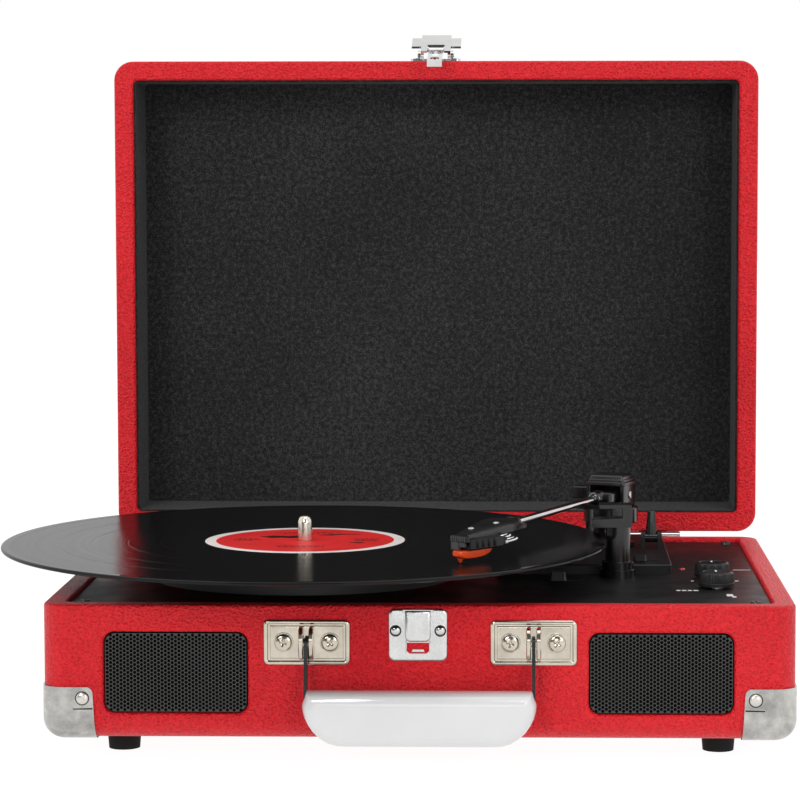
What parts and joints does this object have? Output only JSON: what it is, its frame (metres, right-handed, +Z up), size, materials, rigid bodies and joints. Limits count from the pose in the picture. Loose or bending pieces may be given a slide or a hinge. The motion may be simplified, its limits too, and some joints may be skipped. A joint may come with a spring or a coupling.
{
  "type": "suitcase record player",
  "caption": "Suitcase record player in red leatherette, its lid open and a 12-inch record on the platter, with tonearm, front speakers, draw latch and carry handle.",
  "frame": {"origin": "middle of the whole object's footprint, on the surface that the feet stand on", "axes": "+X to the right seen from the front, along the longest side, +Y from the front with the speakers to the lid's hinges, +Z up"},
  "size_m": [0.3905, 0.372, 0.3523],
  "materials": {
    "leatherette": "red pebbled leatherette over board",
    "guard_metal": "satin nickel-plated steel",
    "rubber": "matte black rubber",
    "belt_rubber": "black rubber belt",
    "mat_rubber": "black slip mat",
    "screw_steel": "zinc-plated steel",
    "black_screw": "black oxide",
    "deck_black": "satin black",
    "grille_black": "black enamel on perforated steel",
    "basket_steel": "plain pressed steel",
    "cone_paper": "black pulp cone",
    "nickel": "warm bright nickel",
    "pin_steel": "turned steel",
    "chrome": "bright chrome",
    "spindle_steel": "polished steel",
    "brass": "turned brass",
    "board_green": "glass-fibre circuit board",
    "jack_black": "moulded black",
    "jack_metal": "nickel-plated",
    "led_lens": "clear red lens",
    "arm_black": "semi-gloss moulded black",
    "control_black": "moulded black",
    "stylus_red": "orange-red moulded plastic",
    "lining_fabric": "charcoal flocked lining",
    "platter_metal": "black painted steel",
    "vinyl": "grooved black vinyl",
    "label_paper": "red printed label with a white ring",
    "handle_white": "glossy white moulding",
    "strap_black": "black steel strap"
  },
  "bodies": {
    "case": {"base_shell": "leatherette", "corner_guards": "guard_metal", "case_rivets": "guard_metal", "feet": "rubber", "foot_screws": "screw_steel", "deck_panel": "deck_black", "deck_screws": "black_screw", "grille_left": "grille_black", "grille_right": "grille_black", "speaker_baskets": "basket_steel", "speaker_cones": "cone_paper", "speaker_magnets": "basket_steel", "handle_brackets": "nickel", "bracket_screws": "nickel", "keeper_plate": "nickel", "base_hinge_leaves": "chrome", "hinge_pins": "pin_steel", "spindle_bearing": "brass", "motor": "screw_steel", "drive_belt": "belt_rubber", "circuit_board": "board_green", "power_jack": "jack_black", "rca_jacks": "jack_metal", "headphone_jack": "jack_black", "potentiometers": "jack_metal", "power_led": "led_lens", "tonearm_base": "deck_black", "pivot_base": "arm_black", "arm_rest": "arm_black"},
    "lid": {"lid_shell": "leatherette", "lid_lining": "lining_fabric", "lid_hinge_leaves": "chrome", "latch_plate": "chrome", "lid_rivets": "chrome"},
    "latch": {"latch_lever": "chrome", "latch_pins": "pin_steel"},
    "latch_hook": {"latch_loop": "chrome"},
    "turntable": {"platter": "platter_metal", "platter_mat": "mat_rubber", "spindle": "spindle_steel", "record": "vinyl", "record_labels": "label_paper"},
    "pulley": {"motor_pulley": "brass"},
    "yoke": {"tonearm_yoke": "arm_black", "tonearm_cap": "arm_black"},
    "tonearm": {"arm_holder": "arm_black", "tonearm_tube": "chrome", "headshell": "arm_black", "cartridge": "arm_black", "stylus": "stylus_red"},
    "cue_lever": {"lift_lever": "arm_black"},
    "cue_lift": {"lift_platform": "arm_black"},
    "volume": {"volume_knob": "control_black"},
    "tone": {"tone_knob": "control_black"},
    "speed": {"speed_switch": "control_black"},
    "auto_stop": {"auto_stop_switch": "control_black"},
    "handle": {"handle_grip": "handle_white", "handle_straps": "strap_black", "handle_pins": "pin_steel"}
  },
  "joints": [
    {"name": "lid_hinge", "type": "hinge", "parent": "case", "child": "lid", "pos_m": [0.01555, 0.13605, 0.0737], "axis": [-1, 0, 0], "range_deg": [-72.5, 0]},
    {"name": "latch_lever_hinge", "type": "hinge", "parent": "lid", "child": "latch", "pos_m": [0.01555, 0.14255, 0.3404], "axis": [1, 0, 0], "range_deg": [-20, 50]},
    {"name": "latch_hook_hinge", "type": "hinge", "parent": "latch", "child": "latch_hook", "pos_m": [0.01555, 0.15101, 0.34348], "axis": [1, 0, 0], "range_deg": [-26, 11]},
    {"name": "platter_spin", "type": "hinge", "parent": "case", "child": "turntable", "pos_m": [-0.04445, -0.03525, 0.0928], "axis": [0, 0, 1], "continuous": true},
    {"name": "pulley_spin", "type": "hinge", "parent": "case", "child": "pulley", "pos_m": [-0.08829, 0.00859, 0.0807], "axis": [0, 0, 1], "continuous": true},
    {"name": "tonearm_swing", "type": "hinge", "parent": "case", "child": "yoke", "pos_m": [0.11115, 0.06775, 0.0986], "axis": [0, 0, 1], "range_deg": [-18.5, 21.9]},
    {"name": "tonearm_lift", "type": "hinge", "parent": "yoke", "child": "tonearm", "pos_m": [0.11115, 0.06775, 0.1047], "axis": [-0.9281, 0.3724, 0], "range_deg": [0, 8]},
    {"name": "cue_lever_hinge", "type": "hinge", "parent": "case", "child": "cue_lever", "pos_m": [0.13255, 0.06275, 0.0822], "axis": [-1, 0, 0], "range_deg": [0, 41]},
    {"name": "cue_lift_slide", "type": "slide", "parent": "case", "child": "cue_lift", "axis": [0, 0, 1], "range_m": [0, 0.005]},
    {"name": "volume_turn", "type": "hinge", "parent": "case", "child": "volume", "pos_m": [0.16005, -0.05225, 0.0737], "axis": [0, 0, -1], "range_deg": [0, 280]},
    {"name": "tone_turn", "type": "hinge", "parent": "case", "child": "tone", "pos_m": [0.16005, -0.01725, 0.0737], "axis": [0, 0, -1], "range_deg": [-140, 140]},
    {"name": "speed_slide", "type": "slide", "parent": "case", "child": "speed", "axis": [1, 0, 0], "range_m": [0, 0.012]},
    {"name": "auto_stop_slide", "type": "slide", "parent": "case", "child": "auto_stop", "axis": [1, 0, 0], "range_m": [0, 0.006]},
    {"name": "handle_swing", "type": "hinge", "parent": "case", "child": "handle", "pos_m": [0.01555, -0.13205, 0.0562], "axis": [-1, 0, 0], "range_deg": [0, 95]}
  ],
  "couplings": [
    {"joint": "pulley_spin", "follows": "platter_spin", "ratio": 9.6},
    {"joint": "latch_hook_hinge", "follows": "latch_lever_hinge", "ratio": -0.5},
    {"joint": "cue_lever_hinge", "follows": "tonearm_lift", "ratio": 5},
    {"joint": "cue_lift_slide", "follows": "tonearm_lift", "m_per_rad": 0.035}
  ]
}
